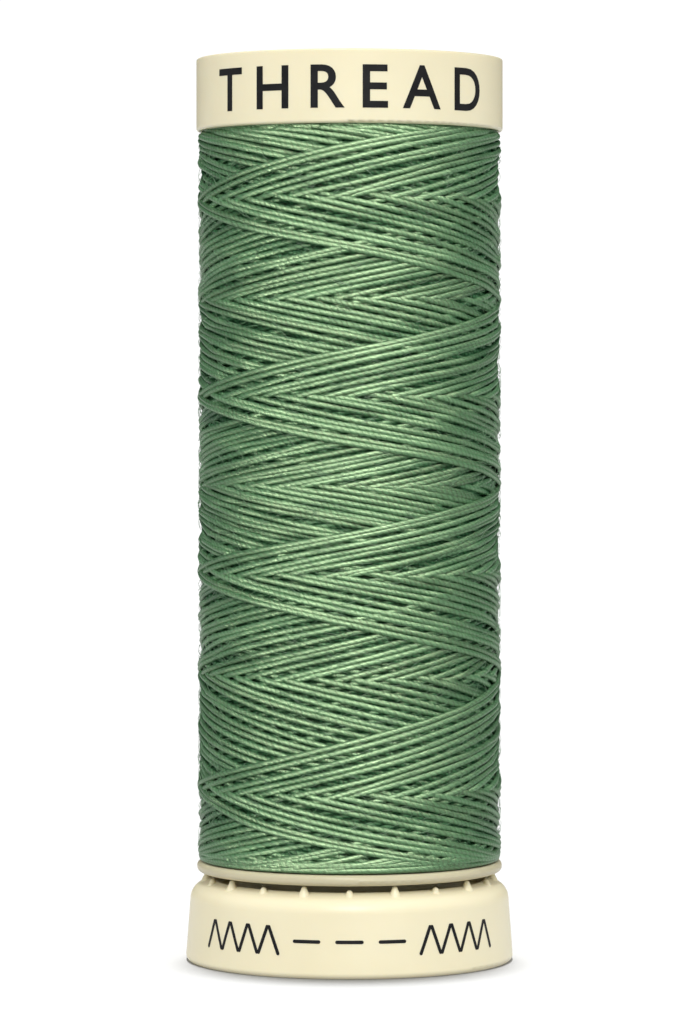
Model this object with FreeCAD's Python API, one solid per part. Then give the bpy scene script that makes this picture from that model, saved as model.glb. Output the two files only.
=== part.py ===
"""Spool of sewing thread with a snap-open foot. Millimetres, +Z up.

The origin is the centre of the foot's underside. The spool stands on its foot, and a sewing
machine's spool pin passes up the bore along Z. The foot's sleeve slides in the barrel: pulled
apart, it opens a gap between the foot's ring of teeth and the barrel's lower flange, where the
thread's free end is laid, and pushed home it grips that end.

Sub-parts: foot, foot_label, barrel, thread_winding, top_cap, top_label.
"""

import FreeCAD
import Part

import math
import os

# ---------------------------------------------------------------- driving dimensions

TOTAL_HEIGHT = 58.7
FOOT_RADIUS = 10.68  # at the sharp lower corner; with that edge rounded the widest radius is 10.65
CAP_RADIUS = 10.0
CAP_HEIGHT = 4.7
THREAD_RADIUS = 9.85
PIN_BORE_RADIUS = 3.3
SNAP_TRAVEL = 2.5  # how far the foot pulls away from the barrel

# foot: skirt, rounded shoulder, deck and sleeve
SKIRT_WALL = 1.1
SHOULDER_CORNER = (10.33, 4.75)  # (r, z) where the drafted side would meet the sloping top
SHOULDER_ROUND = 1.1
SLOPE_END = (9.5, 5.12)
LAND_OUTER_RADIUS = 9.05
LAND_INNER_RADIUS = 8.85
LAND_DRAFT = 0.1  # how far the land's inner wall leans in towards the deck
FOOT_TOP_Z = 5.3
DECK_TOP_Z = 4.7
DECK_THICKNESS = 0.8
FOOT_EDGE_ROUND = 0.35
LABEL_LEDGE_RADIUS = 9.75
FOOT_LEDGE_Z = 0.5  # the label's seat, and the lower end of the ribs and the bore tube
FOOT_RIBS = 8
RIB_THICKNESS = 0.8
SLEEVE_ROOT_ROUND = 0.25
INNER_CORNER_ROUND = 0.4  # where a skirt or band meets the underside of its deck
BORE_CHAMFER = 0.3

# foot: ring of thread-gripping teeth, tall and short in turn
TOOTH_PAIRS = 10
TOOTH_RING_RADIUS = 9.3
TOOTH_ROOT_Z = 4.85
TALL_TOOTH = {"root": 0.52, "crown": 0.19, "tip_z": 5.7}
SHORT_TOOTH = {"root": 0.47, "crown": 0.21, "tip_z": 5.5}

# foot: snap sleeve
SLEEVE_OUTER_RADIUS = 4.4
SLEEVE_TOP_Z = 16.2
BARB_RADIUS = 4.75
BARB_Z = 15.2
BARB_LAND = 0.4
SLOTS = 4
SLOT_WIDTH = 1.0
SLOT_ROOT_Z = 8.0
SLOT_OVERCUT = 1.0  # how far the slot cutter runs past the sleeve on every open side

# barrel: tube, two flanges, snap groove and keys
BARREL_RADIUS = 5.8
BARREL_BORE_RADIUS = 4.5
BARREL_BOTTOM_Z = DECK_TOP_Z + 0.05  # the spigot below the flange stops on the foot's deck
BARREL_TOP_Z = 56.0
FLANGE_RADIUS = 9.95
FLANGE_Z = 5.78
FLANGE_THICKNESS = 0.7
TOP_FLANGE_RADIUS = 8.9
TOP_FLANGE_THICKNESS = 0.7
FLANGE_RIM_ROUND = 0.33
TUBE_END_ROUND = 0.3
GROOVE_RADIUS = 4.82
GROOVE_END_GAP = 0.1  # the barb's clearance to the groove's end at both ends of the travel
KEYS = 2
KEY_WIDTH = 0.7
KEY_INNER_RADIUS = 3.65
KEY_Z = 9.2
KEY_LENGTH = 2.6

# top cap: band, deck and collar
BAND_WALL = 1.0
CAP_LIP_DEPTH = 0.8  # the band's thin lip, which covers the winding's upper end
CAP_LIP_RADIUS = 9.66  # inside the lip
CAP_BOTTOM_ROUND = 0.2
CAP_TOP_ROUND = 0.1
CAP_RECESS_RADIUS = 9.3
CAP_RECESS_DEPTH = 0.3
CAP_DECK_THICKNESS = 1.0
CAP_BORE_RIM_RADIUS = 4.0
COLLAR_RADIUS = 4.48
COLLAR_BOTTOM_Z = 48.0
CAP_RIBS = 6
CAP_RIB_GAP = 0.1  # between a rib and the barrel, at its inner end and underneath

# labels and winding
LABEL_THICKNESS = 0.14
LABEL_EDGE_GAP = 0.08
LABEL_HOLE_RADIUS = 3.5
TOP_LABEL_HOLE_RADIUS = CAP_BORE_RIM_RADIUS + LABEL_EDGE_GAP
WINDING_GAP = 0.05  # between the winding's solid and the plastic
WINDING_BOTTOM_ROUND = 0.5
WINDING_NECK_RADIUS = 9.6  # the winding's upper end, inside the cap's lip
WINDING_NECK_DROP = 0.4  # how far below the lip the winding starts to narrow

CAP_BOTTOM_Z = TOTAL_HEIGHT - CAP_HEIGHT
CAP_DECK_TOP_Z = TOTAL_HEIGHT - CAP_RECESS_DEPTH
CAP_DECK_BOTTOM_Z = CAP_DECK_TOP_Z - CAP_DECK_THICKNESS
FLANGE_TOP_Z = FLANGE_Z + FLANGE_THICKNESS
TOP_FLANGE_Z = CAP_BOTTOM_Z + CAP_LIP_DEPTH

Z_AXIS = FreeCAD.Vector(0, 0, 1)
ORIGIN = FreeCAD.Vector(0, 0, 0)
FULL_TURN = 360.0
SAME_POINT = 1e-6


# ---------------------------------------------------------------- helpers


def at(r, z):
    """A point of a turned profile: r from the axis, z up."""
    return FreeCAD.Vector(r, 0, z)


def turned(points, rounds=None):
    """Solid of revolution from a closed profile of (r, z) points.

    rounds maps a point's index to the radius of the arc that replaces that corner.
    """
    rounds = rounds or {}
    count = len(points)
    corners = []
    for i, (r, z) in enumerate(points):
        here = at(r, z)
        if i not in rounds:
            corners.append((here, here, None))
            continue
        back = (at(*points[i - 1]) - here).normalize()
        ahead = (at(*points[(i + 1) % count]) - here).normalize()
        half_angle = back.getAngle(ahead) / 2
        reach = rounds[i] / math.tan(half_angle)
        to_centre = (back + ahead).normalize()
        centre = here + to_centre * (rounds[i] / math.sin(half_angle))
        crown = centre - to_centre * rounds[i]
        corners.append((here + back * reach, here + ahead * reach, crown))
    edges = []
    for i, (start, end, crown) in enumerate(corners):
        if crown is not None:
            edges.append(Part.Arc(start, crown, end).toShape())
        following = corners[(i + 1) % count][0]
        if (following - end).Length > SAME_POINT:
            edges.append(Part.LineSegment(end, following).toShape())
    face = Part.Face(Part.Wire(edges))
    return face.revolve(ORIGIN, Z_AXIS, FULL_TURN)


def ring(inner, outer, z, height):
    """Plain turned ring."""
    return turned([(inner, z), (outer, z), (outer, z + height), (inner, z + height)])


def radial_bar(inner, outer, width, z, height, angle):
    """Bar along a radius at that angle, from inner to outer."""
    corner = FreeCAD.Vector(inner, -width / 2, z)
    bar = Part.makeBox(outer - inner, width, height, corner)
    bar.rotate(ORIGIN, Z_AXIS, angle)
    return bar


def radial_bars(count, inner, outer, width, z, height, first=0.0):
    """Evenly spaced radial bars."""
    step = FULL_TURN / count
    return [
        radial_bar(inner, outer, width, z, height, first + i * step)
        for i in range(count)
    ]


def export(shape, node):
    """Writes one sub-part's STEP file."""
    if not shape.isValid():
        raise ValueError(node + " is not a valid shape")
    shape.exportStep("parts/" + node + ".step")
    box = shape.BoundBox
    print(
        "%-15s solids %d  volume %8.1f mm3  z %6.2f to %6.2f"
        % (node, len(shape.Solids), shape.Volume, box.ZMin, box.ZMax)
    )


# ---------------------------------------------------------------- foot


def tooth(angle, root, crown, tip_z):
    """One blunt conical tooth standing on the foot's shoulder."""
    base = FreeCAD.Vector(TOOTH_RING_RADIUS, 0, TOOTH_ROOT_Z)
    crown_z = tip_z - crown
    cone = Part.makeCone(root, crown, crown_z - TOOTH_ROOT_Z, base)
    ball = Part.makeSphere(crown, FreeCAD.Vector(TOOTH_RING_RADIUS, 0, crown_z))
    body = cone.fuse(ball)
    body.rotate(ORIGIN, Z_AXIS, angle)
    return body


def teeth():
    """Ring of teeth, tall and short in turn, with a short one at the front."""
    step = FULL_TURN / TOOTH_PAIRS
    front = -90.0
    made = []
    for i in range(TOOTH_PAIRS):
        made.append(tooth(front + i * step, **SHORT_TOOTH))
        made.append(tooth(front + (i + 0.5) * step, **TALL_TOOTH))
    return made


def foot():
    """Foot: drafted skirt, rounded shoulder, deck, and the sleeve that snaps into the barrel."""
    deck_bottom_z = DECK_TOP_Z - DECK_THICKNESS
    skirt_inner_top = SHOULDER_CORNER[0] - SKIRT_WALL
    skirt_inner_bottom = FOOT_RADIUS - SKIRT_WALL
    bore_bottom_z = FOOT_LEDGE_Z + BORE_CHAMFER
    profile = [
        (LABEL_LEDGE_RADIUS, 0.0),
        (FOOT_RADIUS, 0.0),
        SHOULDER_CORNER,
        SLOPE_END,
        (LAND_OUTER_RADIUS, FOOT_TOP_Z),
        (LAND_INNER_RADIUS, FOOT_TOP_Z),
        (LAND_INNER_RADIUS - LAND_DRAFT, DECK_TOP_Z),
        (SLEEVE_OUTER_RADIUS, DECK_TOP_Z),
        (SLEEVE_OUTER_RADIUS, BARB_Z),
        (BARB_RADIUS, BARB_Z),
        (BARB_RADIUS, BARB_Z + BARB_LAND),
        (SLEEVE_OUTER_RADIUS, SLEEVE_TOP_Z),
        (PIN_BORE_RADIUS, SLEEVE_TOP_Z),
        (PIN_BORE_RADIUS, bore_bottom_z),
        (PIN_BORE_RADIUS + BORE_CHAMFER, FOOT_LEDGE_Z),
        (SLEEVE_OUTER_RADIUS, FOOT_LEDGE_Z),
        (SLEEVE_OUTER_RADIUS, deck_bottom_z),
        (skirt_inner_top, deck_bottom_z),
        (skirt_inner_bottom, FOOT_LEDGE_Z),
        (LABEL_LEDGE_RADIUS, FOOT_LEDGE_Z),
    ]
    rounds = {
        1: FOOT_EDGE_ROUND,
        2: SHOULDER_ROUND,
        7: SLEEVE_ROOT_ROUND,
        17: INNER_CORNER_ROUND,
    }
    body = turned(profile, rounds)
    ribs = radial_bars(
        FOOT_RIBS,
        (PIN_BORE_RADIUS + SLEEVE_OUTER_RADIUS) / 2,
        skirt_inner_top + SKIRT_WALL / 2,
        RIB_THICKNESS,
        FOOT_LEDGE_Z,
        deck_bottom_z - FOOT_LEDGE_Z + DECK_THICKNESS / 2,
        first=FULL_TURN / FOOT_RIBS / 2,
    )
    body = body.multiFuse(ribs + teeth())
    slots = radial_bars(
        SLOTS,
        PIN_BORE_RADIUS - SLOT_OVERCUT,
        BARB_RADIUS + SLOT_OVERCUT,
        SLOT_WIDTH,
        SLOT_ROOT_Z,
        SLEEVE_TOP_Z - SLOT_ROOT_Z + SLOT_OVERCUT,
    )
    body = body.cut(Part.makeCompound(slots))
    return body.removeSplitter()


def foot_label():
    """Paper disc that closes the foot's hollow underside, glued to the ribs and the ledge."""
    return ring(
        LABEL_HOLE_RADIUS + BORE_CHAMFER,
        LABEL_LEDGE_RADIUS - LABEL_EDGE_GAP,
        FOOT_LEDGE_Z - LABEL_THICKNESS,
        LABEL_THICKNESS,
    )


# ---------------------------------------------------------------- barrel


def barrel():
    """Winding tube with its two flanges, the snap groove and the two keys in its bore."""
    groove_bottom_z = BARB_Z - SNAP_TRAVEL - GROOVE_END_GAP
    groove_top_z = SLEEVE_TOP_Z + GROOVE_END_GAP
    profile = [
        (BARREL_BORE_RADIUS, BARREL_BOTTOM_Z),
        (BARREL_RADIUS, BARREL_BOTTOM_Z),
        (BARREL_RADIUS, FLANGE_Z),
        (FLANGE_RADIUS, FLANGE_Z),
        (FLANGE_RADIUS, FLANGE_TOP_Z),
        (BARREL_RADIUS, FLANGE_TOP_Z),
        (BARREL_RADIUS, TOP_FLANGE_Z),
        (TOP_FLANGE_RADIUS, TOP_FLANGE_Z),
        (TOP_FLANGE_RADIUS, TOP_FLANGE_Z + TOP_FLANGE_THICKNESS),
        (BARREL_RADIUS, TOP_FLANGE_Z + TOP_FLANGE_THICKNESS),
        (BARREL_RADIUS, BARREL_TOP_Z),
        (BARREL_BORE_RADIUS, BARREL_TOP_Z),
        (BARREL_BORE_RADIUS, groove_top_z),
        (GROOVE_RADIUS, groove_top_z),
        (GROOVE_RADIUS, groove_bottom_z),
        (BARREL_BORE_RADIUS, groove_bottom_z),
    ]
    rounds = {
        1: TUBE_END_ROUND,
        3: FLANGE_RIM_ROUND,
        4: FLANGE_RIM_ROUND,
        10: TUBE_END_ROUND,
    }
    body = turned(profile, rounds)
    keys = radial_bars(
        KEYS,
        KEY_INNER_RADIUS,
        (BARREL_BORE_RADIUS + BARREL_RADIUS) / 2,
        KEY_WIDTH,
        KEY_Z,
        KEY_LENGTH,
    )
    return body.multiFuse(keys).removeSplitter()


def thread_winding():
    """Outer shape of the wound thread: one closed ring between the flanges, narrower in the lip."""
    bottom_z = FLANGE_TOP_Z + WINDING_GAP
    top_z = TOP_FLANGE_Z - WINDING_GAP
    inner = BARREL_RADIUS + WINDING_GAP
    profile = [
        (inner, bottom_z),
        (THREAD_RADIUS, bottom_z),
        (THREAD_RADIUS, CAP_BOTTOM_Z - WINDING_NECK_DROP),
        (WINDING_NECK_RADIUS, CAP_BOTTOM_Z),
        (WINDING_NECK_RADIUS, top_z),
        (inner, top_z),
    ]
    return turned(profile, {1: WINDING_BOTTOM_ROUND})


# ---------------------------------------------------------------- top cap


def top_cap():
    """Cap: outer band with its lip, deck with the label's seat, and the collar in the barrel."""
    band_inner = CAP_RADIUS - BAND_WALL
    profile = [
        (band_inner, TOP_FLANGE_Z),
        (CAP_LIP_RADIUS, TOP_FLANGE_Z),
        (CAP_LIP_RADIUS, CAP_BOTTOM_Z),
        (CAP_RADIUS, CAP_BOTTOM_Z),
        (CAP_RADIUS, TOTAL_HEIGHT),
        (CAP_RECESS_RADIUS, TOTAL_HEIGHT),
        (CAP_RECESS_RADIUS, CAP_DECK_TOP_Z),
        (CAP_BORE_RIM_RADIUS, CAP_DECK_TOP_Z),
        (CAP_BORE_RIM_RADIUS, TOTAL_HEIGHT),
        (PIN_BORE_RADIUS + BORE_CHAMFER, TOTAL_HEIGHT),
        (PIN_BORE_RADIUS, TOTAL_HEIGHT - BORE_CHAMFER),
        (PIN_BORE_RADIUS, COLLAR_BOTTOM_Z),
        (COLLAR_RADIUS, COLLAR_BOTTOM_Z),
        (COLLAR_RADIUS, CAP_DECK_BOTTOM_Z),
        (band_inner, CAP_DECK_BOTTOM_Z),
    ]
    rounds = {
        3: CAP_BOTTOM_ROUND,
        4: CAP_TOP_ROUND,
        12: TUBE_END_ROUND,
        14: INNER_CORNER_ROUND,
    }
    body = turned(profile, rounds)
    rib_bottom_z = TOP_FLANGE_Z + TOP_FLANGE_THICKNESS + CAP_RIB_GAP
    ribs = radial_bars(
        CAP_RIBS,
        BARREL_RADIUS + CAP_RIB_GAP,
        band_inner + BAND_WALL / 2,
        RIB_THICKNESS,
        rib_bottom_z,
        CAP_DECK_BOTTOM_Z - rib_bottom_z + CAP_DECK_THICKNESS / 2,
    )
    return body.multiFuse(ribs).removeSplitter()


def top_label():
    """Paper disc in the cap's shallow seat, around the bore."""
    return ring(
        TOP_LABEL_HOLE_RADIUS,
        CAP_RECESS_RADIUS - LABEL_EDGE_GAP,
        CAP_DECK_TOP_Z,
        LABEL_THICKNESS,
    )


# ---------------------------------------------------------------- build


def main():
    """Builds every sub-part and writes its STEP file."""
    os.makedirs("parts", exist_ok=True)
    for make in (foot, foot_label, barrel, thread_winding, top_cap, top_label):
        export(make(), make.__name__)


main()
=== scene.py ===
import math

import bmesh
import bpy
import numpy as np
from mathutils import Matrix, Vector


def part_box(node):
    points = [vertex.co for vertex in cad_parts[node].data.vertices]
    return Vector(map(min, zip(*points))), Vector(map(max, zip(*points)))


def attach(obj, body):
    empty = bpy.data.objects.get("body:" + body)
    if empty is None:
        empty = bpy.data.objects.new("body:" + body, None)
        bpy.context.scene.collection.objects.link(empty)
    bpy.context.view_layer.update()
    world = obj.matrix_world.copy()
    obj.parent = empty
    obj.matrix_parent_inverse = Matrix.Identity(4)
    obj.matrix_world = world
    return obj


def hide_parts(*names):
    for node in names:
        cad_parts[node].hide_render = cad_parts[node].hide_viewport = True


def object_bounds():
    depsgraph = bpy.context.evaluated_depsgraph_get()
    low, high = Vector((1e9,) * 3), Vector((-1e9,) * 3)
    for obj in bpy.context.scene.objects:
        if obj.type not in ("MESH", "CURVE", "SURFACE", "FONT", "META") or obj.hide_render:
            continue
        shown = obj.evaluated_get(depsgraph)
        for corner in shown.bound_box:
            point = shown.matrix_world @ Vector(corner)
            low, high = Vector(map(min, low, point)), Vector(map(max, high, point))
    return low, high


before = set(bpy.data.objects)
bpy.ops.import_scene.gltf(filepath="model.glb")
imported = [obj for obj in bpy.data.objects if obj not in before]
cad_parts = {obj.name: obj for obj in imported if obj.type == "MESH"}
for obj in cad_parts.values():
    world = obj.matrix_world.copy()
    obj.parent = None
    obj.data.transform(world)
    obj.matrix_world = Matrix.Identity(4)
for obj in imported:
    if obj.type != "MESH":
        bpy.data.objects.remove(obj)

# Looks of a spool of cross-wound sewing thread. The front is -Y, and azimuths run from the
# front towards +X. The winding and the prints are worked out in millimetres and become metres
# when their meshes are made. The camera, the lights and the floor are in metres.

CAD_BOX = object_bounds()
MM = 0.001
FULL_TURN = 2 * math.pi
SEED = 20

# ---------------------------------------------------------------- camera (m)

CAMERA_DISTANCE = 0.289  # from the spool's axis
CAMERA_HEIGHT = 0.0368
LENS = 155.5
SENSOR = 36.0
SHIFT_DOWN = -0.114
NEAR_CLIP = 0.01
FAR_CLIP = 100

# ---------------------------------------------------------------- lights and floor (m)

LIGHT_DISTANCE = 0.6
SOFTBOX = (0.12, 0.30)  # width and height
KEY_FROM = (2, 38)  # azimuth and elevation in degrees, as for the lamps below
SHEEN_FROM = (-1, 24)
LEFT_FROM = (-62, 20)
RIGHT_FROM = (66, 20)
KEY_POWER = 1.86
SHEEN_POWER = 21.5  # only seen as the highlight on the thread
SIDE_POWER = 0.36
SKY_BELOW = 0.34  # even light on the object, from straight below
SKY_ABOVE = 1.08  # and from straight above
BACKDROP = 1.05
FLOOR_LIGHT = 5.9
FLOOR_LIGHT_TILT = 2.7  # degrees; it comes from a little behind, so a thin shadow shows in front
FLOOR_LIGHT_SPREAD = 4  # degrees; it softens that shadow
FLOOR_HALF = 20.0
FLOOR_GREY = 0.38

# ---------------------------------------------------------------- winding (mm)

STRAND_HALF_WIDTH = 0.186  # along the spool
STRAND_HALF_HEIGHT = 0.152  # tight thread lies a little flat
BED_HALF_WIDTH = 0.155
BED_HALF_HEIGHT = 0.10  # strands are soft, so where they cross they press into each other
DOUBLE_STROKES = 90  # the last ones laid, which hide everything under them
TURNS_PER_STROKE = 4.0 - 0.0171  # just under a whole number, so each stroke lands beside the last
LAST_TOP_TURN = 0.26  # where, in turns from the front, the last stroke leaves the top
COLUMNS = 1200  # height field: steps around
ROW_HEIGHT = 0.04  # height field: step along the axis
RING_STEP = 4  # columns from one ring of a strand's tube to the next
SIDES = 8
STROKE_OFFSET = 0.065  # scatter of whole strokes along the axis
STROKE_WANDER = 0.042  # slow wander of one stroke along its length
WANDER_WAVELENGTHS = (17.0, 31.0, 58.0)
GUIDE_BELOW = 1.3  # how far past the winding's lower end the thread guide goes before it turns
BOTTOM_SLIP = 0.45  # how far from the lower end a reversal can slip
TOP_SLIP = 0.7
END_SLIP_POWER = 1.5  # most slip less
END_BEND = 0.12  # roundness of a reversal
SPEED_KNOTS = (0, 0.05, 0.1, 0.2, 0.35, 0.5, 0.65, 0.8, 0.9, 0.95, 1)  # share of a rising stroke
SPEEDS = (0.8, 1.0, 1.2, 1.3, 1.05, 0.9, 1.07, 1.03, 1.3, 0.85, 0.25)  # the thread guide's there
TRAVEL_STEPS = 1001  # how finely the thread guide's travel is added up
END_ZONE = 4.0  # the ends' length, left out when the winding's radius is judged
USUAL_SHARE = 90  # percentile of the surface so far that a strand's rise is judged from
USUAL_SAMPLE = 8  # every eighth column is enough to judge it
STRAND_RISE = 0.14  # how far a strand's centre may stand above it
SWELL_REACH = 1.6  # relief wider than this is levelled, because tight thread settles
SWELL_LEVELLED = 0.92  # the share of it that goes
SILHOUETTE_SHARE = 80  # percentile of the finished surface that has the winding's radius
PROUD_LIMIT = 0.08  # strands hardly stand prouder than this
SUNK_LIMIT = 0.6  # and those in the gaps are hardly deeper than this
SHADE_DEPTHS = (0.10, 0.32)  # between these depths, strands are coloured darker and less glossy: painted shade
BOTTOM_TAPER = 0.18  # how much thinner the winding is at its very bottom
TAPER_REACH = 0.4
LIP_DEPTH = 0.8  # how far the cap's lip reaches down over the winding
LIP_CLEAR_RADIUS = 9.64  # the strands keep inside this in the lip
NECK_DROP = 0.35  # where, below the lip, the winding starts to narrow towards it
NECK_DEPTH = 0.25
HIDDEN_TOLERANCE = 0.02
PIECE_TRIANGLES = 180_000  # at most, in one mesh of strands
CORE_DEPTH = 0.75  # from the winding's radius to the backing under the strands
CORE_INNER_DEPTH = 3.5  # and to the backing's own inside
CORE_SIDES = 128

# ---------------------------------------------------------------- lint (mm)

LINT_HAIRS = 4500
LINT_RADIUS = 0.014
LINT_LENGTHS = (0.5, 1.7)
LINT_SLOPE = 0.9  # radians, at most, from a ring around the winding
LINT_CURL = 0.9  # radians, the usual bend of a hair
LINT_LIFT = 0.06  # how far the middle of a hair can stand off the winding
LINT_LIFT_SHARES = (0.1, 1.0)  # of that, squared: most hairs lie close
LINT_STEPS = 7
LINT_SIDES = 3

# ---------------------------------------------------------------- prints (mm)

INK_PROUD = 0.012  # above the plastic
INK_DEPTH = 0.03  # and below its surface, so no gap shows
WRAP_STEP = 0.25  # width of the strips that bend round the spool
FLAT_HALF_DEPTH = 0.5  # of a print before it is wrapped; only the sign is used
MERGE_DISTANCE = 1e-5
CAP_WORD = "THREAD"
CAP_WORD_ARC = 20.3
CAP_LETTER_HEIGHT = 2.75
CAP_LETTER_WEIGHT = 0.012  # next to a letter height of about one
LETTER_CURVE_STEPS = 6
FOOT_DRAFT = 0.35 / 4.75  # how much the skirt narrows for each mm up
FOOT_WIDEST_Z = 0.38
FOOT_PRINT_Z = 2.35
STITCH_HALF_WIDTH = 0.11
STITCH_END_STEPS = 8
RUN_LENGTH = 1.8  # one stitch of the straight run in the middle
RUN_GAP = 0.95
RUN_STITCHES = 3
ZIGZAG_HEIGHT = 2.0
ZIGZAG_STEP = 0.78  # along the arc, from one leg to the next
ZIGZAG_LEGS = 8
ZIGZAG_START = 5.0  # from the front to the first leg's middle
ZIGZAG_GAP = 0.16  # where two legs meet at a needle hole

# ---------------------------------------------------------------- materials
# Lengths are in mm. Grains and clouds are noise scales for each metre, except the streaks'.

PLY_PITCH = 0.85  # one full twist of the two plies
PLY_ROUNDNESS = 0.7  # how round the plies are where they show between their grooves
PLY_HEIGHT = 0.031  # from the grooves to the crests
UNEVEN_TWIST = 14.0  # radians by which the twist runs ahead or behind
UNEVEN_REACH = 6.0  # over which that changes
STREAK_SCALE = (1.4, 5.0, 5.0)  # along the strand, and across it
STREAK_GRAIN = 1.6  # the noise scale after that
STREAK_DETAIL = 4.0
STREAK_SHARPNESS = 0.65  # how strong the finest streaks are
STREAK_HEIGHT = 1.2  # next to the plies' own height
TONE_SPREAD = 0.05  # between strokes
# painted shade: the plies' grooves are coloured darker than their crests
PLY_GROOVE_PAINTED_SHADE = 0.24
CREST_MIDDLE = 0.7  # the share of that where a strand keeps its own colour
# painted shade: how much darker a strand deep between others is coloured
PAINTED_SHADE_DARKENS = 0.08
PAINTED_SHADE_DULLS = 0.85  # the share of the gloss that a deep strand loses, as painted shade
THREAD_GREENS = (
    (0.30, (0.005, 0.035, 0.012)),
    (0.48, (0.027, 0.118, 0.048)),
    (0.66, (0.090, 0.238, 0.114)),
)
THREAD_ROUGHNESS = 0.41
THREAD_IOR = 1.6
THREAD_SHEEN_TINT = (0.78, 1.0, 0.58, 1)

MOTTLE_ENDS = (0.3, 0.7)  # the noise level of the dark tone, and of the light one
# painted shade: the thread deep in the gaps, coloured darker than the strands
PAINTED_SHADE_GREENS = ((0.012, 0.042, 0.015), (0.030, 0.080, 0.034))
LINT_GREENS = ((0.100, 0.230, 0.105), (0.190, 0.330, 0.180))
INK_GREYS = ((0.005, 0.005, 0.006), (0.011, 0.011, 0.012))

SHELL_CREAMS = ((0.790, 0.720, 0.495), (0.835, 0.770, 0.545))
# painted shade: the shell's cream, darker on the barrel's flange as if shaded
BARREL_SHADED_CREAMS = ((0.520, 0.475, 0.315), (0.575, 0.525, 0.360))
PLASTIC_CLOUDS = 140.0
PLASTIC_ROUGHNESS = (0.34, 0.44)  # the smoothest and the roughest places
PLASTIC_SUBSURFACE = 0.2  # share of the light that spreads under the surface
PLASTIC_SUBSURFACE_REACH = 0.6
PLASTIC_SUBSURFACE_SPREAD = (1.0, 0.8, 0.5)  # red reaches farthest
SKIN_GRAIN = 1500.0
SKIN_STRENGTH = 0.15
SKIN_DEPTH = 0.02

PAPER_WHITES = ((0.64, 0.62, 0.55), (0.72, 0.70, 0.63))
PAPER_ENDS = (0.35, 0.65)
PAPER_CLOUDS = 900.0
PAPER_GRAIN = 2500.0
PAPER_STRENGTH = 0.3
PAPER_DEPTH = 0.03
LABEL_RINGS = ((8.6, 0.16), (8.1, 0.06), (5.2, 0.06))  # radius and half-width
RING_GREEN = (0.10, 0.22, 0.09, 1)
MIX_A, MIX_B, MIX_RESULT = 6, 7, 2  # the colour sockets of a Mix node


# ---------------------------------------------------------------- meshes


def place(azimuth, radius, z):
    """Point in metres, from an azimuth and a radius and height in mm."""
    return (radius * math.sin(azimuth) * MM, -radius * math.cos(azimuth) * MM, z * MM)


def link(name, data):
    """A new object in the scene."""
    made = bpy.data.objects.new(name, data)
    bpy.context.scene.collection.objects.link(made)
    return made


def lathe(name, profile, sides):
    """Closed solid of revolution from (r, z) points in mm."""
    mesh = bpy.data.meshes.new(name)
    points = []
    for i in range(sides):
        for radius, z in profile:
            points.append(place(i * FULL_TURN / sides, radius, z))
    count = len(profile)
    faces = []
    for i in range(sides):
        for j in range(count):
            here, ahead = i * count, ((i + 1) % sides) * count
            following = (j + 1) % count
            faces.append((here + j, ahead + j, ahead + following, here + following))
    mesh.from_pydata(points, [], faces)
    mesh.shade_smooth()
    return link(name, mesh)


# ---------------------------------------------------------------- how the thread is wound


def winding_box():
    """Lowest z, highest z and outer radius of the winding's CAD solid, in mm."""
    low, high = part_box("thread_winding")
    return low.z / MM, high.z / MM, high.x / MM


def traverse_table():
    """How far up the winding the thread guide is, over one rising stroke."""
    share = np.linspace(0, 1, TRAVEL_STEPS)
    speed = np.interp(share, SPEED_KNOTS, SPEEDS)
    travel = np.concatenate([[0], np.cumsum((speed[1:] + speed[:-1]) / 2)])
    return share, travel / travel[-1]


def wander(rng, arc):
    """Slow random sideways drift of a strand along its arc length."""
    drift = np.zeros_like(arc)
    for wavelength in WANDER_WAVELENGTHS:
        phase = rng.uniform(0, FULL_TURN)
        drift += np.sin(arc * FULL_TURN / wavelength + phase) * rng.normal(0, STROKE_WANDER)
    return drift


def keep_above(z, floor, bend):
    """Smooth maximum of z and floor."""
    return (z + floor + np.sqrt((z - floor) ** 2 + bend**2)) / 2


def stroke_path(rng, rising, low_z, high_z, arc):
    """Height of a strand's centre along one stroke."""
    share = np.linspace(0, 1, len(arc))
    table_share, table_travel = traverse_table()
    travel = np.interp(share if rising else 1 - share, table_share, table_travel)
    lowest = low_z - GUIDE_BELOW
    z = lowest + (high_z - lowest) * travel
    z = z + rng.normal(0, STROKE_OFFSET) + wander(rng, arc)
    bottom = low_z + BOTTOM_SLIP * rng.uniform(0, 1) ** END_SLIP_POWER
    top = high_z - TOP_SLIP * rng.uniform(0, 1) ** END_SLIP_POWER
    z = keep_above(z, bottom, END_BEND)
    z = -keep_above(-z, -top, END_BEND)
    return np.clip(z, low_z, high_z)


def new_stroke(rng, k, low_z, high_z, outer):
    """Where stroke number k runs round the winding and along it."""
    steps = int(TURNS_PER_STROKE * COLUMNS)
    strokes_after = 2 * DOUBLE_STROKES - 1 - k
    first = (LAST_TOP_TURN - strokes_after * TURNS_PER_STROKE) * COLUMNS
    column = int(round(first)) + np.arange(steps)
    arc = np.arange(steps) * FULL_TURN * outer / COLUMNS
    z = stroke_path(rng, k % 2 == 0, low_z, high_z, arc)
    return {"turn": column / COLUMNS, "column": column % COLUMNS, "arc": arc, "z": z}


def section_cells(z, rows, low_edge):
    """For every cell row under a strand: the row, and the half-thickness of the strand there."""
    reach = int(math.ceil(BED_HALF_WIDTH / ROW_HEIGHT)) + 1
    base = np.floor((z - low_edge) / ROW_HEIGHT).astype(int)
    for offset in range(-reach, reach + 1):
        row = base + offset
        across = (low_edge + (row + 0.5) * ROW_HEIGHT - z) / BED_HALF_WIDTH
        inside = (np.abs(across) < 1) & (row >= 0) & (row < rows)
        half = BED_HALF_HEIGHT * np.sqrt(np.maximum(1 - across**2, 0))
        yield np.clip(row, 0, rows - 1), half, inside


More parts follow.
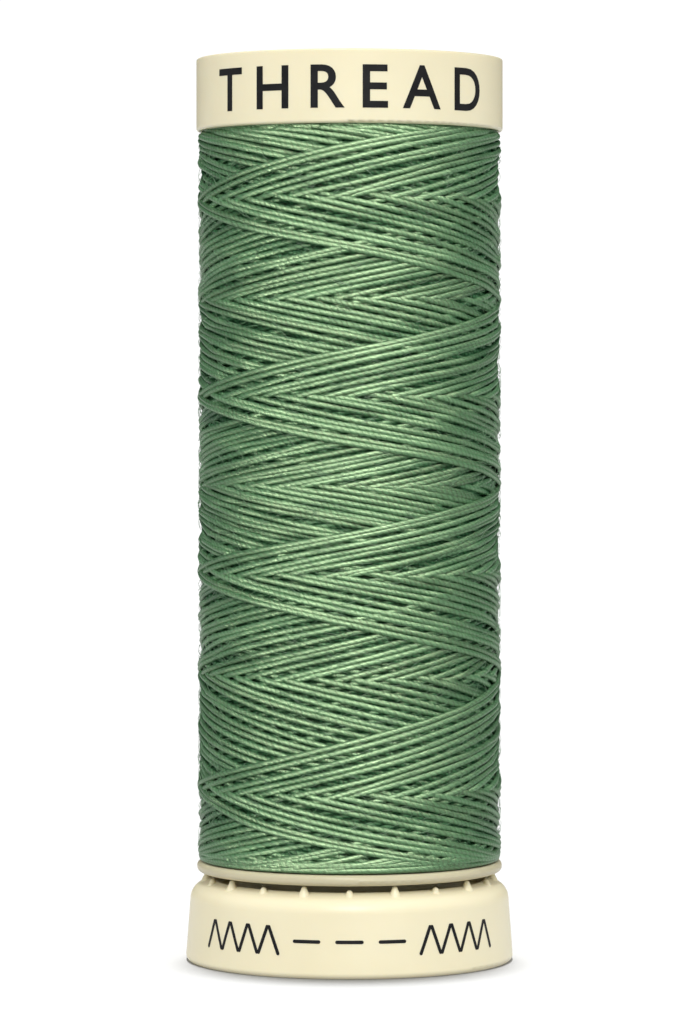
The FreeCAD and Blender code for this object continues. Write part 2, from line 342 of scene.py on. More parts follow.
def pulled_taut(support, arc, radius):
    """Lowest path over the support that a tight strand can follow round the winding."""
    flat = support - arc**2 / (2 * radius)
    values = flat.tolist()
    places = arc.tolist()
    hull = []
    for i, (x, y) in enumerate(zip(places, values)):
        while len(hull) > 1:
            x1, y1 = places[hull[-2]], values[hull[-2]]
            x2, y2 = places[hull[-1]], values[hull[-1]]
            if (y2 - y1) * (x - x2) > (y - y2) * (x2 - x1):
                break
            hull.pop()
        hull.append(i)
    taut = np.interp(arc, arc[hull], flat[hull])
    return taut + arc**2 / (2 * radius)


def lay(stroke, surface, middle, low_edge, outer):
    """Lays a stroke on the surface, and raises the surface to the stroke's top."""
    column = stroke["column"]
    cells = list(section_cells(stroke["z"], surface.shape[1], low_edge))
    support = np.zeros(len(column))
    for row, half, inside in cells:
        support = np.maximum(support, np.where(inside, surface[column, row] + half, 0))
    usual = np.percentile(surface[::USUAL_SAMPLE, middle], USUAL_SHARE)
    centre = np.minimum(pulled_taut(support, stroke["arc"], outer), usual + STRAND_RISE)
    for row, half, inside in cells:
        c, r = column[inside], row[inside]
        surface[c, r] = np.maximum(surface[c, r], centre[inside] + half[inside])
    stroke["laid"] = centre
    stroke["cells"] = cells


def running_mean(field, reach, axis, mode):
    """Three passes of a running mean over that many cells each side, close to a Gaussian blur."""
    width = 2 * reach + 1
    pad = [(0, 0), (0, 0)]
    pad[axis] = (reach + 1, reach)
    for _ in range(3):
        total = np.cumsum(np.pad(field, pad, mode=mode), axis=axis)
        upper = np.take(total, range(width, total.shape[axis]), axis=axis)
        lower = np.take(total, range(0, total.shape[axis] - width), axis=axis)
        field = (upper - lower) / width
    return field


def settling(surface, middle, outer):
    """How far each place of the winding sinks as the thread settles to an even cylinder."""
    row_reach = int(SWELL_REACH / ROW_HEIGHT / 2)
    column_reach = int(SWELL_REACH / (FULL_TURN * outer / COLUMNS) / 2)
    swell = running_mean(surface, row_reach, 1, "edge")
    swell = running_mean(swell, column_reach, 0, "wrap")
    swell -= swell[:, middle].mean()
    settled = swell * np.where(middle, SWELL_LEVELLED, 1)
    level = np.percentile((surface - settled)[:, middle], SILHOUETTE_SHARE)
    return settled + level + STRAND_HALF_HEIGHT - BED_HALF_HEIGHT - outer


def taper(from_bottom, from_top):
    """How much thinner the winding is near its ends."""
    narrowed = BOTTOM_TAPER * np.exp(-from_bottom / TAPER_REACH)
    return narrowed + NECK_DEPTH * np.clip((LIP_DEPTH + NECK_DROP - from_top) / NECK_DROP, 0, 1)


def evened(proud):
    """Strand tops pressed towards the winding's radius, still one over another."""
    limit = np.where(proud > 0, PROUD_LIMIT, SUNK_LIMIT)
    return limit * np.tanh(proud / limit)


def settle(stroke, sunk, narrowed, low_edge, high_edge, outer):
    """Where a laid stroke's centre ends up, and how deep between the others it lies."""
    row = np.clip(((stroke["z"] - low_edge) / ROW_HEIGHT).astype(int), 0, len(narrowed) - 1)
    proud = stroke["laid"] - sunk[stroke["column"], row] + STRAND_HALF_HEIGHT - outer
    settled = outer - STRAND_HALF_HEIGHT + evened(proud) - narrowed[row]
    in_lip = stroke["z"] + STRAND_HALF_WIDTH > high_edge - LIP_DEPTH
    highest = np.where(in_lip, LIP_CLEAR_RADIUS - STRAND_HALF_HEIGHT, outer)
    stroke["settled"] = np.minimum(settled, highest)
    # the depth sets how much painted shade a strand gets
    stroke["depth"] = np.interp(-proud, SHADE_DEPTHS, (0, 1))


def wind():
    """Lays the strokes one over another, and returns them with the finished surface."""
    rng = np.random.default_rng(SEED)
    low_edge, high_edge, outer = winding_box()
    low_z, high_z = low_edge + STRAND_HALF_WIDTH, high_edge - STRAND_HALF_WIDTH
    rows = int((high_edge - low_edge) / ROW_HEIGHT)
    row_z = low_edge + (np.arange(rows) + 0.5) * ROW_HEIGHT
    from_bottom, from_top = row_z - low_edge, high_edge - row_z
    middle = np.minimum(from_bottom, from_top) > END_ZONE
    surface = np.full((COLUMNS, rows), outer)
    strokes = []
    for k in range(2 * DOUBLE_STROKES):
        stroke = new_stroke(rng, k, low_z, high_z, outer)
        lay(stroke, surface, middle, low_edge, outer)
        strokes.append(stroke)
    sunk = settling(surface, middle, outer)
    narrowed = taper(from_bottom, from_top)
    for stroke in strokes:
        settle(stroke, sunk, narrowed, low_edge, high_edge, outer)
    return strokes, surface


# ---------------------------------------------------------------- meshes of the thread


def seen(stroke, surface):
    """Which points of a stroke show at the surface, with a little more each side."""
    shown = np.zeros(len(stroke["z"]), bool)
    for row, half, inside in stroke["cells"]:
        top = stroke["laid"] + half
        shown |= inside & (top > surface[stroke["column"], row] - HIDDEN_TOLERANCE)
    grown = shown.copy()
    for shift in range(1, 2 * RING_STEP + 1):
        grown[shift:] |= shown[:-shift]
        grown[:-shift] |= shown[shift:]
    return grown


def tube_points(stroke, pick):
    """Rings of points round a stroke's centre line, and the fibre attribute of each point."""
    azimuth = stroke["turn"][pick] * FULL_TURN
    outward = np.stack([np.sin(azimuth), -np.cos(azimuth), np.zeros_like(azimuth)], 1)
    centre = outward * stroke["settled"][pick][:, None]
    centre[:, 2] = stroke["z"][pick]
    along = np.gradient(centre, axis=0)
    along /= np.linalg.norm(along, axis=1)[:, None]
    side = np.cross(along, outward)
    side /= np.linalg.norm(side, axis=1)[:, None]
    around = np.arange(SIDES) * FULL_TURN / SIDES
    cosine, sine = np.cos(around), np.sin(around)
    up = outward[:, None, :] * cosine[None, :, None] * STRAND_HALF_HEIGHT
    points = centre[:, None, :] + up + side[:, None, :] * sine[None, :, None] * STRAND_HALF_WIDTH
    arc = stroke["arc"][pick]
    shape = (len(arc), SIDES)
    channels = [np.broadcast_to(values, shape) for values in (arc[:, None], cosine, sine)]
    return points.reshape(-1, 3), np.stack(channels, 2).reshape(-1, 3)


def tube_faces(joined):
    """Quads between rings that are joined, and a cap at each end of a run of them."""
    ring = np.nonzero(joined)[0]
    corners = np.arange(SIDES)
    a = (ring[:, None] * SIDES + corners[None, :]).ravel()
    b = (ring[:, None] * SIDES + (corners[None, :] + 1) % SIDES).ravel()
    quads = np.stack([a, b, b + SIDES, a + SIDES], 1)
    padded = np.concatenate([[False], joined, [False]])
    starts = np.nonzero(~padded[:-1] & padded[1:])[0]
    ends = np.nonzero(padded[:-1] & ~padded[1:])[0]
    first_caps = starts[:, None] * SIDES + corners[::-1][None, :]
    last_caps = ends[:, None] * SIDES + corners[None, :]
    return quads, np.concatenate([first_caps, last_caps])


def tube(stroke, shown, tone):
    """Vertices, faces and attributes of the shown runs of one stroke, as a tube."""
    pick = np.arange(0, len(shown), RING_STEP)
    points, fibre = tube_points(stroke, pick)
    shown = shown[pick]
    quads, caps = tube_faces(shown[:-1] & shown[1:])
    used = np.zeros(len(points), bool)
    used[quads.ravel()] = True
    renumber = np.cumsum(used) - 1
    return {
        "points": points[used],
        "fibre": fibre[used],
        "tone": np.full(int(used.sum()), tone),
        "depth": np.repeat(stroke["depth"][pick], SIDES)[used],
        "quads": renumber[quads],
        "caps": renumber[caps],
    }


def triangles(strand):
    """How many triangles a tube comes to."""
    return 2 * len(strand["quads"]) + (SIDES - 2) * len(strand["caps"])


def mesh_piece(name, strands):
    """One mesh object from several tubes."""
    offset = 0
    quads, caps = [], []
    for strand in strands:
        quads.append(strand["quads"] + offset)
        caps.append(strand["caps"] + offset)
        offset += len(strand["points"])
    quads, caps = np.concatenate(quads), np.concatenate(caps)
    loops = np.concatenate([quads.ravel(), caps.ravel()])
    cap_starts = quads.size + np.arange(len(caps)) * SIDES
    loop_starts = np.concatenate([np.arange(len(quads)) * 4, cap_starts])
    points = np.concatenate([strand["points"] for strand in strands]) * MM
    mesh = bpy.data.meshes.new(name)
    mesh.vertices.add(len(points))
    mesh.vertices.foreach_set("co", points.astype(np.float32).ravel())
    mesh.loops.add(len(loops))
    mesh.loops.foreach_set("vertex_index", loops.astype(np.int32))
    mesh.polygons.add(len(loop_starts))
    mesh.polygons.foreach_set("loop_start", loop_starts.astype(np.int32))
    mesh.update(calc_edges=True)
    for kind, form, field in (
        ("fibre", "FLOAT_VECTOR", "vector"),
        ("tone", "FLOAT", "value"),
        ("depth", "FLOAT", "value"),
    ):
        values = np.concatenate([strand[kind] for strand in strands]).astype(np.float32)
        mesh.attributes.new(kind, form, "POINT").data.foreach_set(field, values.ravel())
    mesh.shade_smooth()
    return link(name, mesh)


def add_core(material):
    """Plain backing that shows in the deepest gaps between the strands; its dark colour is painted
    shade.
    """
    low_edge, high_edge, outer = winding_box()
    inner = outer - CORE_INNER_DEPTH
    core = outer - CORE_DEPTH
    profile = [(inner, low_edge), (core, low_edge), (core, high_edge), (inner, high_edge)]
    backing = lathe("thread_winding_core", profile, CORE_SIDES)
    backing.data.materials.append(material)
    return backing


def add_winding(material, shade):
    """The wound thread as real strands over a backing."""
    strokes, surface = wind()
    rng = np.random.default_rng(SEED + 1)
    groups = [[]]
    count = 0
    for stroke in strokes:
        strand = tube(stroke, seen(stroke, surface), rng.normal(0, 1))
        if not len(strand["quads"]):
            continue
        if groups[-1] and count + triangles(strand) > PIECE_TRIANGLES:
            groups.append([])
            count = 0
        groups[-1].append(strand)
        count += triangles(strand)
    made = []
    for i, group in enumerate(groups):
        piece = mesh_piece("thread_winding_%02d" % (i + 1), group)
        piece.data.materials.append(material)
        made.append(piece)
    # the backing's dark green is painted shade
    made.append(add_core(shade))
    for piece in made:
        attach(piece, "spool")
        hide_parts("thread_winding")
    return made


def hair_path(rng, low_edge, high_edge, outer):
    """Azimuths, radii and heights along one loose fibre."""
    length = rng.uniform(*LINT_LENGTHS)
    heading = rng.choice((-1, 1)) * rng.uniform(0.0, LINT_SLOPE)
    curl = rng.normal(0, LINT_CURL)
    start = rng.uniform(0, FULL_TURN)
    first_z = rng.uniform(low_edge + length, high_edge - LIP_DEPTH - length)
    lift = LINT_LIFT * rng.uniform(*LINT_LIFT_SHARES) ** 2
    share = np.linspace(0, 1, LINT_STEPS)
    angle = heading + curl * (share - 0.5)
    step = length / (LINT_STEPS - 1)
    arc = np.cumsum(np.cos(angle)) * step
    z = first_z + np.cumsum(np.sin(angle)) * step
    root_depth = STRAND_HALF_HEIGHT / 2
    radius = outer - root_depth + (lift + root_depth) * np.sin(math.pi * share)
    return start + arc / outer, radius, z


def add_hair(path, points, faces):
    """Adds the thin tube of one fibre to a list of points and a list of faces."""
    first = len(points)
    for azimuth, radius, z in zip(*path):
        for corner in range(LINT_SIDES):
            spin = corner * FULL_TURN / LINT_SIDES
            outwards, upwards = LINT_RADIUS * math.cos(spin), LINT_RADIUS * math.sin(spin)
            points.append(place(azimuth, radius + outwards, z + upwards))
    last = first + (LINT_STEPS - 1) * LINT_SIDES
    for ring in range(first, last, LINT_SIDES):
        ahead = ring + LINT_SIDES
        for j in range(LINT_SIDES):
            after = (j + 1) % LINT_SIDES
            faces.append((ring + j, ring + after, ahead + after, ahead + j))
    faces.append(tuple(first + j for j in reversed(range(LINT_SIDES))))
    faces.append(tuple(last + j for j in range(LINT_SIDES)))


def add_lint(material):
    """Loose fibre ends that stand a little off the wound thread."""
    rng = np.random.default_rng(SEED + 2)
    box = winding_box()
    points, faces = [], []
    for _ in range(LINT_HAIRS):
        add_hair(hair_path(rng, *box), points, faces)
    mesh = bpy.data.meshes.new("thread_lint")
    mesh.from_pydata(points, [], faces)
    mesh.shade_smooth()
    mesh.materials.append(material)
    lint = link("thread_lint", mesh)
    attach(lint, "spool")
    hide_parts("thread_winding")
    return lint


# ---------------------------------------------------------------- shader nodes


def new_material(name):
    """A new material, with its node tree and its shader."""
    material = bpy.data.materials.new(name)
    material.use_nodes = True
    tree = material.node_tree
    return material, tree, tree.nodes["Principled BSDF"]


def noise(tree, scale, detail, vector=None, roughness=0.5):
    """Noise texture on object coordinates, or on a given vector."""
    node = tree.nodes.new("ShaderNodeTexNoise")
    node.inputs["Scale"].default_value = scale
    node.inputs["Detail"].default_value = detail
    node.inputs["Roughness"].default_value = roughness
    if vector is None:
        vector = tree.nodes.new("ShaderNodeTexCoord").outputs["Object"]
    tree.links.new(vector, node.inputs["Vector"])
    return node.outputs["Fac"]


def ramp(tree, factor, stops):
    """Colour ramp over (position, colour) stops."""
    node = tree.nodes.new("ShaderNodeValToRGB")
    elements = node.color_ramp.elements
    while len(elements) < len(stops):
        elements.new(0.5)
    for element, (position, colour) in zip(elements, stops):
        element.position = position
        element.color = (*colour, 1)
    tree.links.new(factor, node.inputs["Fac"])
    return node.outputs["Color"]


def mottled(tree, factor, tones, ends=MOTTLE_ENDS):
    """Colour between a dark and a light tone."""
    return ramp(tree, factor, tuple(zip(ends, tones)))


def bump(tree, shader, height, strength, depth):
    """Bump on the shader's normal, from a depth in mm."""
    node = tree.nodes.new("ShaderNodeBump")
    node.inputs["Strength"].default_value = strength
    node.inputs["Distance"].default_value = depth * MM
    tree.links.new(height, node.inputs["Height"])
    tree.links.new(node.outputs["Normal"], shader.inputs["Normal"])


def maths(tree, operation, a, b=0.0):
    """Math node on sockets or numbers."""
    node = tree.nodes.new("ShaderNodeMath")
    node.operation = operation
    for socket, value in zip(node.inputs, (a, b)):
        if isinstance(value, (int, float)):
            socket.default_value = value
        else:
            tree.links.new(value, socket)
    return node.outputs[0]


def attribute(tree, name):
    """Node that reads a mesh attribute."""
    node = tree.nodes.new("ShaderNodeAttribute")
    node.attribute_name = name
    return node


def vector(tree, *values):
    """Vector from two or three sockets."""
    node = tree.nodes.new("ShaderNodeCombineXYZ")
    for socket, value in zip(node.inputs, values):
        tree.links.new(value, socket)
    return node.outputs["Vector"]


def split(tree, socket):
    """The X, Y and Z of a vector."""
    node = tree.nodes.new("ShaderNodeSeparateXYZ")
    tree.links.new(socket, node.inputs["Vector"])
    return node.outputs


# ---------------------------------------------------------------- materials


def untwisted(tree, arc, cosine, sine, uneven):
    """Cosine and sine of the angle around a strand, counted from one of its plies."""
    turn = maths(tree, "MULTIPLY", arc, FULL_TURN / PLY_PITCH)
    turn = maths(tree, "ADD", turn, maths(tree, "MULTIPLY", uneven, UNEVEN_TWIST))
    turn_cosine = maths(tree, "COSINE", turn)
    turn_sine = maths(tree, "SINE", turn)
    both_cosines = maths(tree, "MULTIPLY", cosine, turn_cosine)
    both_sines = maths(tree, "MULTIPLY", sine, turn_sine)
    sine_cosine = maths(tree, "MULTIPLY", sine, turn_cosine)
    cosine_sine = maths(tree, "MULTIPLY", cosine, turn_sine)
    return (
        maths(tree, "ADD", both_cosines, both_sines),
        maths(tree, "SUBTRACT", sine_cosine, cosine_sine),
    )


def thread_material():
    """Two twisted plies of streaky fibres, each stroke a little lighter or darker.

    The fibre attribute holds the arc length along the strand, and the cosine and sine of the
    angle around it. Turning that angle with the arc length gives the twist of the plies. The
    depth attribute is 1 for strands deep between others, which are coloured darker and made
    duller: that is painted shade.
    """
    material, tree, shader = new_material("green_thread")
    arc, cosine, sine = split(tree, attribute(tree, "fibre").outputs["Vector"])
    tone = attribute(tree, "tone").outputs["Fac"]
    depth = attribute(tree, "depth").outputs["Fac"]
    drift = vector(tree, maths(tree, "MULTIPLY", arc, 1 / UNEVEN_REACH), tone)
    uneven = noise(tree, scale=1.0, detail=1.0, vector=drift)
    ply_cosine, ply_sine = untwisted(tree, arc, cosine, sine, uneven)
    crest = maths(tree, "POWER", maths(tree, "ABSOLUTE", ply_cosine), PLY_ROUNDNESS)
    stretched = []
    for value, scale in zip((arc, ply_cosine, ply_sine), STREAK_SCALE):
        stretched.append(maths(tree, "MULTIPLY", value, scale))
    streaks = noise(tree, STREAK_GRAIN, STREAK_DETAIL, vector(tree, *stretched), STREAK_SHARPNESS)
    level = maths(tree, "ADD", maths(tree, "MULTIPLY", tone, TONE_SPREAD), streaks)
    # painted shade in the plies' grooves, against lighter crests
    level = maths(tree, "ADD", level, maths(tree, "MULTIPLY", crest, PLY_GROOVE_PAINTED_SHADE))
    # painted shade: deep strands darker
    level = maths(tree, "SUBTRACT", level, maths(tree, "MULTIPLY", depth, PAINTED_SHADE_DARKENS))
    level = maths(tree, "SUBTRACT", level, PLY_GROOVE_PAINTED_SHADE * CREST_MIDDLE)
    tree.links.new(ramp(tree, level, THREAD_GREENS), shader.inputs["Base Color"])
    shader.inputs["Roughness"].default_value = THREAD_ROUGHNESS
    shader.inputs["IOR"].default_value = THREAD_IOR
    # painted shade on the highlight: deep strands less glossy
    gloss = maths(tree, "SUBTRACT", 1.0, maths(tree, "MULTIPLY", depth, PAINTED_SHADE_DULLS))
    tree.links.new(gloss, shader.inputs["Specular IOR Level"])
    shader.inputs["Specular Tint"].default_value = THREAD_SHEEN_TINT
    height = maths(tree, "ADD", crest, maths(tree, "MULTIPLY", streaks, STREAK_HEIGHT))
    bump(tree, shader, height, 1.0, PLY_HEIGHT)
    return material


def mottled_material(name, tones, grain, detail, roughness, gloss=0.5):
    """Plain material of one mottled colour."""
    material, tree, shader = new_material(name)
    colour = mottled(tree, noise(tree, grain, detail), tones)
    tree.links.new(colour, shader.inputs["Base Color"])
    shader.inputs["Roughness"].default_value = roughness
    shader.inputs["Specular IOR Level"].default_value = gloss
    return material


def shade_material():
    """The thread deep in the gaps, coloured dark green as painted shade."""
    name = "green_thread_painted_shade"
    return mottled_material(name, PAINTED_SHADE_GREENS, grain=2500.0, detail=3.0, roughness=0.9)


def lint_material():
    """Single fibres, which look paler than the thread."""
    return mottled_material("green_lint", LINT_GREENS, grain=800.0, detail=2.0, roughness=0.6)


def ink_material():
    """Pad-printed dark grey ink."""
    name = "black_ink"
    return mottled_material(name, INK_GREYS, grain=1200.0, detail=3.0, roughness=0.5, gloss=0.25)


def plastic_material(name, tones):
    """Moulded plastic with a satin skin."""
    material, tree, shader = new_material(name)
    tint = noise(tree, PLASTIC_CLOUDS, detail=3.0)
    tree.links.new(mottled(tree, tint, tones), shader.inputs["Base Color"])
    roughness = tree.nodes.new("ShaderNodeMapRange")
    for end, value in zip(("To Min", "To Max"), PLASTIC_ROUGHNESS):
        roughness.inputs[end].default_value = value
    tree.links.new(tint, roughness.inputs["Value"])
    tree.links.new(roughness.outputs["Result"], shader.inputs["Roughness"])
    shader.inputs["Subsurface Weight"].default_value = PLASTIC_SUBSURFACE
    shader.inputs["Subsurface Radius"].default_value = PLASTIC_SUBSURFACE_SPREAD
    shader.inputs["Subsurface Scale"].default_value = PLASTIC_SUBSURFACE_REACH * MM
    bump(tree, shader, noise(tree, SKIN_GRAIN, detail=2.0), SKIN_STRENGTH, SKIN_DEPTH)
    return material


def axis_distance(tree):
    """Distance from the spool's axis, in mm."""
    x, y, _ = split(tree, tree.nodes.new("ShaderNodeTexCoord").outputs["Object"])
    squares = maths(tree, "ADD", maths(tree, "MULTIPLY", x, x), maths(tree, "MULTIPLY", y, y))
    return maths(tree, "MULTIPLY", maths(tree, "SQRT", squares), 1 / MM)


def label_material():
    """Matt paper with printed rings."""
    material, tree, shader = new_material("label_paper")
    distance = axis_distance(tree)
    pulp = mottled(tree, noise(tree, PAPER_CLOUDS, detail=5.0), PAPER_WHITES, PAPER_ENDS)
    rings = 0.0
    for radius, half_width in LABEL_RINGS:
        offset = maths(tree, "ABSOLUTE", maths(tree, "SUBTRACT", distance, radius))
        rings = maths(tree, "MAXIMUM", rings, maths(tree, "LESS_THAN", offset, half_width))
    mix = tree.nodes.new("ShaderNodeMix")
    mix.data_type = "RGBA"
    tree.links.new(rings, mix.inputs["Factor"])
    tree.links.new(pulp, mix.inputs[MIX_A])
    mix.inputs[MIX_B].default_value = RING_GREEN
    tree.links.new(mix.outputs[MIX_RESULT], shader.inputs["Base Color"])
    shader.inputs["Roughness"].default_value = 0.8
    bump(tree, shader, noise(tree, PAPER_GRAIN, detail=4.0), PAPER_STRENGTH, PAPER_DEPTH)
    return material


def dress_cad():
    """Materials on the CAD nodes that stay."""
    shell = plastic_material("cream_plastic", SHELL_CREAMS)
    # the barrel's darker cream is painted shade
    barrel = plastic_material("cream_plastic_painted_shade", BARREL_SHADED_CREAMS)
    label = label_material()
    looks = {
        "foot": shell,
        "top_cap": shell,
        "barrel": barrel,
        "foot_label": label,
        "top_label": label,
    }
    for name, material in looks.items():
        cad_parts[name].data.materials.clear()
        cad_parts[name].data.materials.append(material)


# ---------------------------------------------------------------- prints


def flat_text(words, height, arc, weight):
    """Bevel-free extruded text as a flat mesh in mm, its letters spaced to fill the arc."""
    curve = bpy.data.curves.new("text", "FONT")
    curve.body = words
    curve.align_x = "CENTER"
    curve.extrude = FLAT_HALF_DEPTH
    curve.resolution_u = LETTER_CURVE_STEPS
    holder = link("text", curve)
    widths = []
    for spacing in (1.0, 2.0):
        curve.space_character = spacing
        bpy.context.view_layer.update()
        widths.append(holder.dimensions.x / holder.dimensions.y)
    curve.space_character = 1.0 + (arc / height - widths[0]) / (widths[1] - widths[0])
    curve.offset = weight
    bpy.context.view_layer.update()
    depsgraph = bpy.context.evaluated_depsgraph_get()
    mesh = bpy.data.meshes.new_from_object(holder.evaluated_get(depsgraph))
    bpy.data.objects.remove(holder)
    points = np.array([v.co for v in mesh.vertices])
    low, high = points.min(0), points.max(0)
    points -= (low + high) / 2
    points[:, :2] *= height / (high[1] - low[1])
    mesh.vertices.foreach_set("co", points.astype(np.float32).ravel())
    return mesh


def flat_stitch(length, lean):
    """One round-ended stitch as a flat mesh in mm, leaning by that angle from the arc."""
    mesh = bpy.data.meshes.new("stitch")
    made = bmesh.new()
    straight = length / 2 - STITCH_HALF_WIDTH
    outline = []
    for end, start in ((1, -90), (-1, 90)):
        for step in range(STITCH_END_STEPS + 1):
            angle = math.radians(start + step * 180 / STITCH_END_STEPS)
            x = end * straight + STITCH_HALF_WIDTH * math.cos(angle)
            y = STITCH_HALF_WIDTH * math.sin(angle)
            along = x * math.cos(lean) - y * math.sin(lean)
            up = x * math.sin(lean) + y * math.cos(lean)
            outline.append(made.verts.new((along, up, -FLAT_HALF_DEPTH)))
    face = made.faces.new(outline)
    moved = bmesh.ops.extrude_face_region(made, geom=[face])["geom"]
    for v in moved:
        if isinstance(v, bmesh.types.BMVert):
            v.co.z = FLAT_HALF_DEPTH
    made.to_mesh(mesh)
    made.free()
    return mesh


def wrap(name, mesh, radius_at, middle_z, middle_arc, material, body):
    """Cuts a flat mesh into strips and wraps it round the spool as a thin skin of ink."""
    made = bmesh.new()
    made.from_mesh(mesh)
    bmesh.ops.remove_doubles(made, verts=made.verts, dist=MERGE_DISTANCE)
    reach = max(abs(v.co.x) for v in made.verts)
    x = -reach + WRAP_STEP
    while x < reach:
        geometry = made.verts[:] + made.edges[:] + made.faces[:]
        bmesh.ops.bisect_plane(made, geom=geometry, plane_co=(x, 0, 0), plane_no=(1, 0, 0))
        x += WRAP_STEP
    bmesh.ops.triangulate(made, faces=made.faces)
    for v in made.verts:
        z = middle_z + v.co.y
        surface = radius_at(z)
        azimuth = (middle_arc + v.co.x) / surface
        v.co = place(azimuth, surface + (INK_PROUD if v.co.z > 0 else -INK_DEPTH), z)
    bmesh.ops.recalc_face_normals(made, faces=made.faces)
    wrapped = bpy.data.meshes.new(name)
    made.to_mesh(wrapped)
    made.free()
    piece = link(name, wrapped)
    wrapped.materials.append(material)
    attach(piece, body)


def add_cap_word(ink):
    """A plain word on the cap's band."""
    cap_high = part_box("top_cap")[1]
    band_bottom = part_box("thread_winding")[1].z / MM - LIP_DEPTH
    band_middle = (band_bottom + cap_high.z / MM) / 2
    cap_radius = cap_high.x / MM
    word = flat_text(CAP_WORD, CAP_LETTER_HEIGHT, CAP_WORD_ARC, CAP_LETTER_WEIGHT)
    wrap("cap_print", word, lambda z: cap_radius, band_middle, 0.0, ink, "spool")


def add_foot_stitches(ink):
    """A row of straight stitches on the foot's front, with zigzag stitches at both sides."""
    foot_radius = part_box("foot")[1].x / MM

    def skirt(z):
        return foot_radius - (z - FOOT_WIDEST_Z) * FOOT_DRAFT

    for i in range(RUN_STITCHES):
        arc = (i - (RUN_STITCHES - 1) / 2) * (RUN_LENGTH + RUN_GAP)
        stitch = flat_stitch(RUN_LENGTH, 0.0)
        wrap("foot_run_%d" % (i + 1), stitch, skirt, FOOT_PRINT_Z, arc, ink, "foot")
    leg = math.hypot(ZIGZAG_STEP, ZIGZAG_HEIGHT) - ZIGZAG_GAP
    lean = math.atan2(ZIGZAG_HEIGHT, ZIGZAG_STEP)
    for side, label in ((-1, "left"), (1, "right")):
        for i in range(ZIGZAG_LEGS):
            stitch = flat_stitch(leg, side * lean * (-1) ** i)
            arc = side * (ZIGZAG_START + i * ZIGZAG_STEP)
            name = "foot_zigzag_%s_%d" % (label, i + 1)
            wrap(name, stitch, skirt, FOOT_PRINT_Z, arc, ink, "foot")


# ---------------------------------------------------------------- stage


def add_camera():
    """Level camera in front of the spool."""
    data = bpy.data.cameras.new("camera")
    data.lens = LENS
    data.sensor_width = SENSOR
    data.shift_y = SHIFT_DOWN
    data.clip_start = NEAR_CLIP
    data.clip_end = FAR_CLIP
    camera = link("camera", data)
    camera.location = (0, -CAMERA_DISTANCE, CAMERA_HEIGHT)
    camera.rotation_euler = (math.pi / 2, 0, 0)
    bpy.context.scene.camera = camera


def add_area(name, coming_from, power):
    """Softbox that faces the middle of the spool."""
    data = bpy.data.lights.new(name, "AREA")
    data.shape = "RECTANGLE"
    data.size, data.size_y = SOFTBOX
    data.energy = power
    lamp = link(name, data)
    low, high = CAD_BOX
    azimuth, elevation = (math.radians(angle) for angle in coming_from)
    level = math.cos(elevation)
    away = Vector((math.sin(azimuth) * level, -math.cos(azimuth) * level, math.sin(elevation)))
    lamp.location = (low + high) / 2 + away * LIGHT_DISTANCE
    lamp.rotation_euler = away.to_track_quat("Z", "Y").to_euler()
    return lamp


def light_only(lamp, name, objects):
    """Makes a lamp light these objects and nothing else."""
    lit = bpy.data.collections.new(name)
    for piece in objects:
        lit.objects.link(piece)
    lamp.light_linking.receiver_collection = lit


def add_softboxes(floor, thread):
    """Softboxes in front and at the sides that skip the floor, and one for the thread alone."""
    key = add_area("key", KEY_FROM, KEY_POWER)
    sheen = add_area("sheen", SHEEN_FROM, SHEEN_POWER)
    sheen.visible_diffuse = False
    light_only(sheen, "lit_by_sheen", thread)
    sides = (add_area("left", LEFT_FROM, SIDE_POWER), add_area("right", RIGHT_FROM, SIDE_POWER))
    for lamp in sides:
        lamp.visible_glossy = False
    passed_over = bpy.data.collections.new("passed_over_by_softboxes")
    passed_over.objects.link(floor)
    passed_over.collection_objects[0].light_linking.link_state = "EXCLUDE"
    for lamp in (key, *sides):
        lamp.light_linking.receiver_collection = passed_over


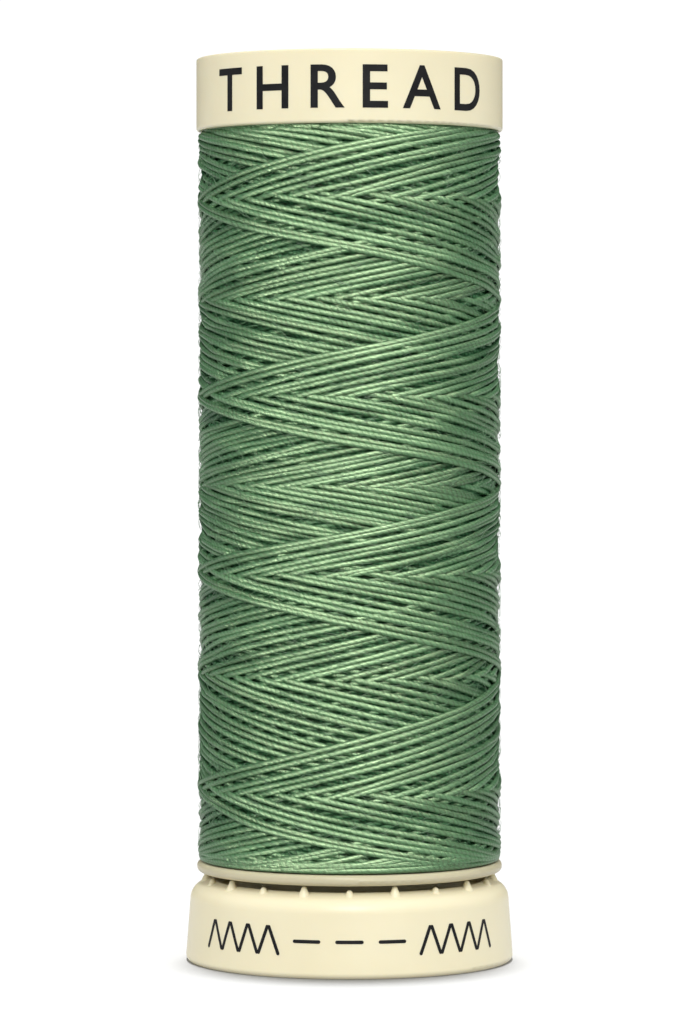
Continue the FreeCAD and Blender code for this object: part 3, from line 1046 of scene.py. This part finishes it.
def add_floor_light(floor):
    """Far light from above, for the floor alone."""
    data = bpy.data.lights.new("floor_light", "SUN")
    data.energy = FLOOR_LIGHT
    data.angle = math.radians(FLOOR_LIGHT_SPREAD)
    lamp = link("floor_light", data)
    lamp.rotation_euler.x = -math.radians(FLOOR_LIGHT_TILT)
    light_only(lamp, "lit_by_floor_light", [floor])


def add_floor():
    """White floor, which throws no light back on the object: the sky's lower half does that."""
    mesh = bpy.data.meshes.new("floor")
    corners = [(x * FLOOR_HALF, y * FLOOR_HALF, 0) for x, y in ((-1, -1), (1, -1), (1, 1), (-1, 1))]
    mesh.from_pydata(corners, [], [(0, 1, 2, 3)])
    floor = link("floor", mesh)
    floor.visible_diffuse = False
    material, _, shader = new_material("floor")
    shader.inputs["Base Color"].default_value = (FLOOR_GREY, FLOOR_GREY, FLOOR_GREY, 1)
    shader.inputs["Roughness"].default_value = 1.0
    shader.inputs["Specular IOR Level"].default_value = 0.0
    mesh.materials.append(material)
    return floor


def add_surroundings():
    """White backdrop, and on the object an even light that is stronger from above."""
    world = bpy.data.worlds.new("studio")
    world.use_nodes = True
    tree = world.node_tree
    background = tree.nodes["Background"]
    direction = tree.nodes.new("ShaderNodeTexCoord").outputs["Generated"]
    sky = tree.nodes.new("ShaderNodeMapRange")
    sky.inputs["From Min"].default_value = -1.0
    sky.inputs["To Min"].default_value = SKY_BELOW
    sky.inputs["To Max"].default_value = SKY_ABOVE
    tree.links.new(split(tree, direction)["Z"], sky.inputs["Value"])
    level = tree.nodes.new("ShaderNodeMapRange")
    level.inputs["To Max"].default_value = BACKDROP
    tree.links.new(sky.outputs["Result"], level.inputs["To Min"])
    ray = tree.nodes.new("ShaderNodeLightPath")
    tree.links.new(ray.outputs["Is Camera Ray"], level.inputs["Value"])
    background.inputs["Color"].default_value = (1, 1, 1, 1)
    tree.links.new(level.outputs["Result"], background.inputs["Strength"])
    world.cycles_visibility.glossy = False
    bpy.context.scene.world = world
    bpy.context.scene.view_settings.view_transform = "Standard"


# ---------------------------------------------------------------- scene

add_camera()
add_surroundings()
dress_cad()
thread = add_winding(thread_material(), shade_material())
thread.append(add_lint(lint_material()))
floor = add_floor()
add_softboxes(floor, thread)
add_floor_light(floor)
ink = ink_material()
add_cap_word(ink)
add_foot_stitches(ink)
